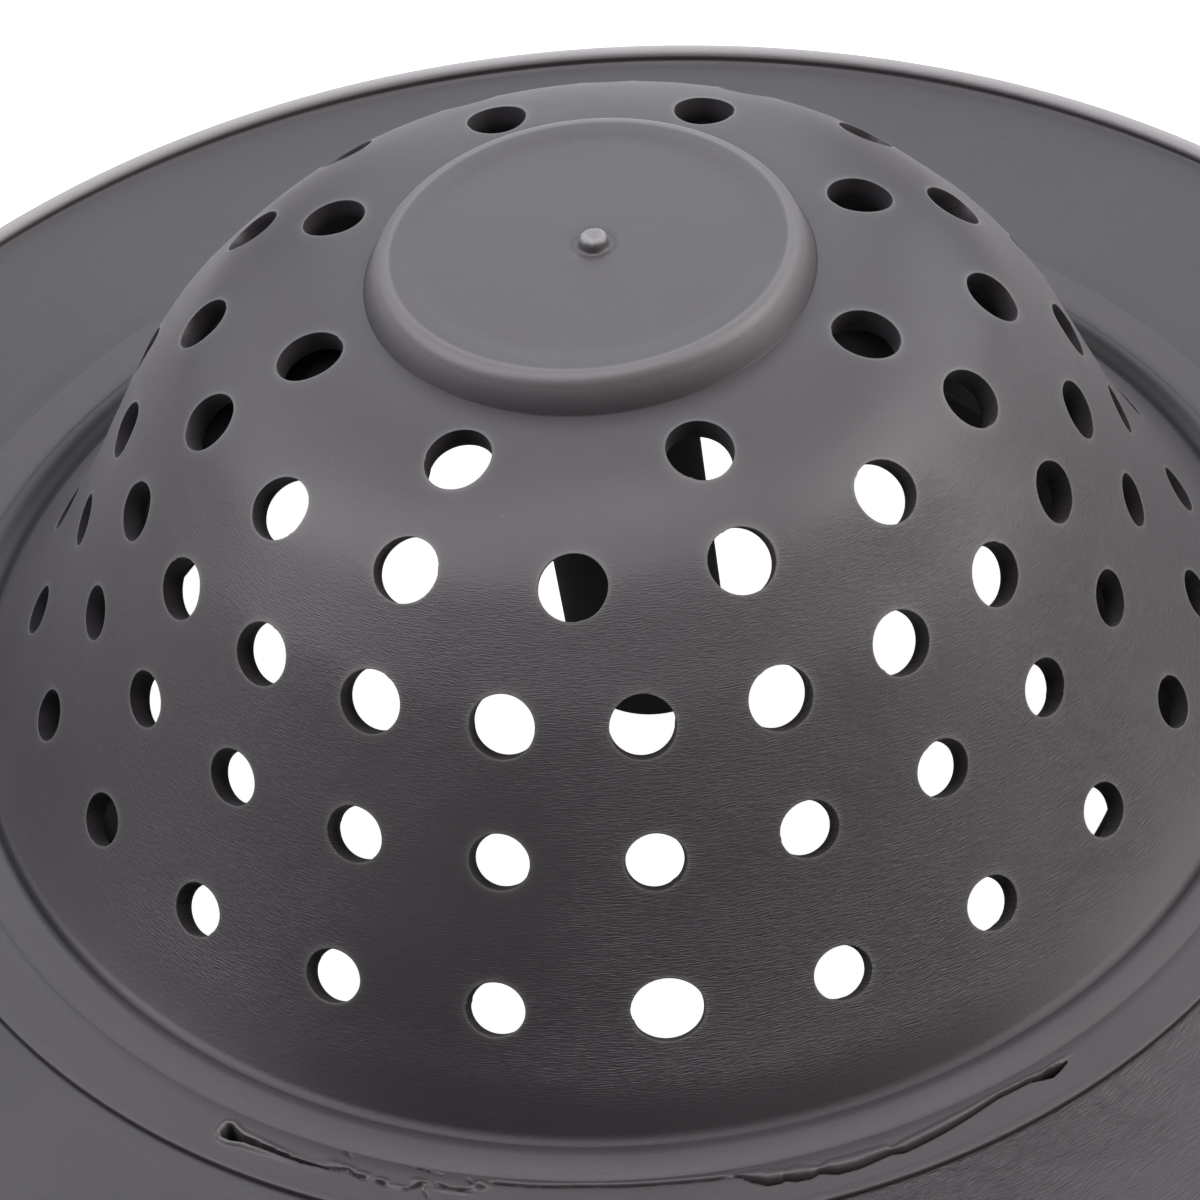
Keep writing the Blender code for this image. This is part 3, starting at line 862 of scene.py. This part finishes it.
def fine_relief(nodes, ripple, grain, rippled, left):
    """Ripples round the axis, a fine grain and slow waves, as a height for a bump."""
    warp = nodes.times(nodes.noise(nodes.place, 420.0), 0.0006)
    down = nodes.math("ADD", nodes.math("SUBTRACT", nodes.distance, nodes.height), warp)
    along = nodes.times(nodes.turn, RIPPLE_RADIUS, RIPPLE_STRETCH)
    ripples = nodes.times(
        nodes.ramp(nodes.noise(nodes.place, 70.0, 1.0), 0.35, 0.65, 0.4, 1.0),
        nodes.ramp(nodes.distance, rippled[0], rippled[0] + 0.004),
        nodes.ramp(nodes.distance, rippled[1], rippled[1] - 0.003),
        nodes.ramp(nodes.back, 0.015, -0.015, 0.3, 1.0),
        nodes.ramp(nodes.right, -0.02, 0.02, left, 1.0),
        nodes.noise(nodes.vector(along, down, 0.0), RIPPLE_SCALE),
        ripple,
    )
    grained = nodes.times(nodes.noise(nodes.place, 5200.0, 3.0, 0.6), grain)
    wide = nodes.times(nodes.noise(nodes.place, 240.0), 1.2)
    return nodes.math("ADD", nodes.math("ADD", ripples, grained), wide)


def shaded(nodes, colour, clouds, tone, streak, painted_highlight):
    """The colour, soft clouded and streaked, with painted highlights and painted shade from the tone, and with specks
    of dust.
    """
    def tint(factor):
        return tuple(part * factor for part in colour) + (1.0,)

    shade = nodes.mix(clouds, tint(0.92), tint(1.08))
    if streak:
        rays = nodes.vector(nodes.times(nodes.turn, 0.02), nodes.times(nodes.distance, 0.05), 0.0)
        rays = nodes.ramp(nodes.noise(rays, 1500.0, 3.0, 0.6), 0.45, 0.75)
        shade = nodes.mix(nodes.times(rays, streak), shade, tint(1.5))
    # Painted highlight where the tone is above 0 and painted shade where it is below 0
    pale = sum(colour) / 3 * painted_highlight
    shade = nodes.mix(nodes.ramp(tone, 0.0, 1.0), shade, (pale, pale, pale, 1.0))
    shade = nodes.mix(nodes.ramp(tone, 0.0, -1.0), shade, tint(0.08))
    specks = nodes.ramp(nodes.noise(nodes.place, 3300.0, 1.0), 0.82, 0.88, 0.0, 0.6)
    return nodes.mix(specks, shade, DUST)


def moulded(name, colour, roughness, ripple, grain, *, streak=0.0, painted_highlight=1.7, rippled=(0.0, 1.0), left=0.35, gloss=1.0):
    """Satin moulded plastic or rubber.

    ripple and grain are strengths of the relief. The ripples lie between two distances from the axis, and fade
    towards the back and, to the share called left, towards the left. streak is the strength of flow marks,
    painted_highlight how much paler the painted highlight at tone 1 is, and gloss the specular level.
    """
    nodes = Nodes(name)
    clouds = nodes.ramp(nodes.noise(nodes.place, 55.0, 4.0, 0.6), 0.3, 0.7)
    tone = nodes.add("ShaderNodeAttribute", attribute_name="tone").outputs["Fac"]
    relief = fine_relief(nodes, ripple, grain, rippled, left)
    bump = nodes.add("ShaderNodeBump", {"Strength": 1.0, "Distance": RELIEF_HEIGHT, "Height": relief})
    nodes.wire(nodes.shader, {
        "Base Color": shaded(nodes, colour, clouds, tone, streak, painted_highlight),
        "Roughness": nodes.ramp(clouds, 0.0, 1.0, roughness - 0.04, roughness + 0.04),
        # Painted shade also takes the gloss away where the tone is below 0
        "Specular IOR Level": nodes.ramp(tone, 0.0, -1.0, gloss, 0.0),
        "Normal": bump.outputs[0],
        "IOR": 1.53,
        "Sheen Weight": 0.12,
        "Sheen Roughness": 0.3,
    })
    return nodes.material


def look_at_part():
    """The camera, turned as in the photograph."""
    level_ahead = cos(CAMERA_PITCH)
    ahead = Vector((sin(CAMERA_YAW) * level_ahead, cos(CAMERA_YAW) * level_ahead, -sin(CAMERA_PITCH)))
    level = ahead.cross(Vector((0, 0, 1))).normalized()
    upright = level.cross(ahead)
    right = level * cos(CAMERA_ROLL) + upright * sin(CAMERA_ROLL)
    up = upright * cos(CAMERA_ROLL) - level * sin(CAMERA_ROLL)
    turn = Matrix((right, up, -ahead)).transposed().to_4x4()
    data = bpy.data.cameras.new("photo_camera")
    data.sensor_width = SENSOR
    data.sensor_fit = "HORIZONTAL"
    data.lens = SENSOR * FOCAL_PIXELS / FRAME_PIXELS
    data.clip_start = MM
    camera = bpy.data.objects.new("photo_camera", data)
    camera.matrix_world = Matrix.Translation(CAMERA_PLACE) @ turn
    bpy.context.collection.objects.link(camera)
    bpy.context.scene.camera = camera


def softbox(name, azimuth, elevation, power, tint):
    """A square soft lamp aimed at the part. Azimuth 0 is behind it and 90 is to its right."""
    data = bpy.data.lights.new(name, "AREA")
    data.shape = "SQUARE"
    data.size = SOFTBOX_SIZE
    data.energy = power
    data.color = tint
    light = bpy.data.objects.new(name, data)
    turn, rise = radians(azimuth), radians(elevation)
    away = Vector((sin(turn) * cos(rise), cos(turn) * cos(rise), sin(rise)))
    light.location = LIT_PLACE + away * SOFTBOX_DISTANCE
    light.rotation_euler = away.to_track_quat("Z", "Y").to_euler()
    bpy.context.collection.objects.link(light)


def studio():
    """Soft lamps above, behind and beside the part, and a faint world that the camera sees as white."""
    for row in SOFTBOXES:
        softbox(*row)
    world = bpy.data.worlds.new("pale_studio")
    bpy.context.scene.world = world
    world.use_nodes = True
    tree = world.node_tree
    background = tree.nodes["Background"]
    background.inputs["Color"].default_value = WHITE
    rays = tree.nodes.new("ShaderNodeLightPath")
    strength = tree.nodes.new("ShaderNodeMapRange")
    strength.inputs["To Min"].default_value = WORLD_LIGHT
    strength.inputs["To Max"].default_value = 1.0
    tree.links.new(rays.outputs["Is Camera Ray"], strength.inputs["Value"])
    tree.links.new(strength.outputs[0], background.inputs["Strength"])


def white_floor():
    """A pale paper floor that the camera sees as white, but for the part's soft shadow, with a painted glow under the
    bowl that hides the shade there.
    """
    nodes = Nodes("white_floor_paper")
    path = nodes.add("ShaderNodeLightPath").outputs
    seen = nodes.math("MAXIMUM", path["Is Camera Ray"], path["Is Transmission Ray"])
    # Painted glow: full white under the bowl, where the floor lies in shade, less further out, where the shadow shows
    near = nodes.ramp(nodes.distance, 0.031, 0.075, 1.0, 0.55)
    far = nodes.ramp(nodes.distance, 0.15, 0.4, 0.0, 0.45)
    paper = nodes.noise(nodes.place, 900.0, 3.0)
    bump = nodes.add("ShaderNodeBump", {"Strength": 0.2, "Distance": 0.0001, "Height": paper})
    nodes.wire(nodes.shader, {
        "Base Color": (0.86, 0.86, 0.86, 1.0),
        "Roughness": 0.9,
        "Emission Color": WHITE,
        "Emission Strength": nodes.times(seen, nodes.math("ADD", near, far)),
        "Normal": bump.outputs[0],
    })
    mesh = bpy.data.meshes.new("floor")
    half = 3.0
    mesh.from_pydata([(-half, -half, 0), (half, -half, 0), (half, half, 0), (-half, half, 0)], [], [(0, 1, 2, 3)])
    mesh.materials.append(nodes.material)
    floor = bpy.data.objects.new("floor", mesh)
    bpy.context.collection.objects.link(floor)


def main():
    bpy.context.scene.view_settings.view_transform = "Standard"
    bowl_plastic = moulded(
        "bowl_plastic", (0.060, 0.0545, 0.061), 0.45, 3.8, 0.3, painted_highlight=2.2, rippled=(0.019, 0.0362), left=0.28
    )
    band_plastic = moulded("band_plastic", (0.067, 0.0615, 0.067), 0.45, 0.3, 0.3, painted_highlight=2.6, gloss=0.85)
    skirt_rubber = moulded(
        "skirt_rubber", (0.0515, 0.048, 0.0535), 0.45, 3.0, 0.5, streak=0.08, painted_highlight=9.0, left=0.12, gloss=0.88
    )
    disc_plastic = moulded("disc_plastic", (0.079, 0.074, 0.081), 0.45, 0.3, 0.3, streak=0.12, painted_highlight=4.5)
    post_rubber = moulded("post_rubber", (0.030, 0.029, 0.030), 0.6, 0.8, 0.8)
    for piece, node in (
        (bowl_skin(bowl_plastic), "strainer_bowl"),
        (ring_skin(band_plastic), "mouth_ring"),
        (skirt_skin(skirt_rubber), "sealing_skirt"),
        (disc_skin(disc_plastic), "base_disc"),
        (post_skin(post_rubber), "grip_post"),
    ):
        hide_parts(node)
        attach(piece, "root")
    white_floor()
    studio()
    look_at_part()


main()
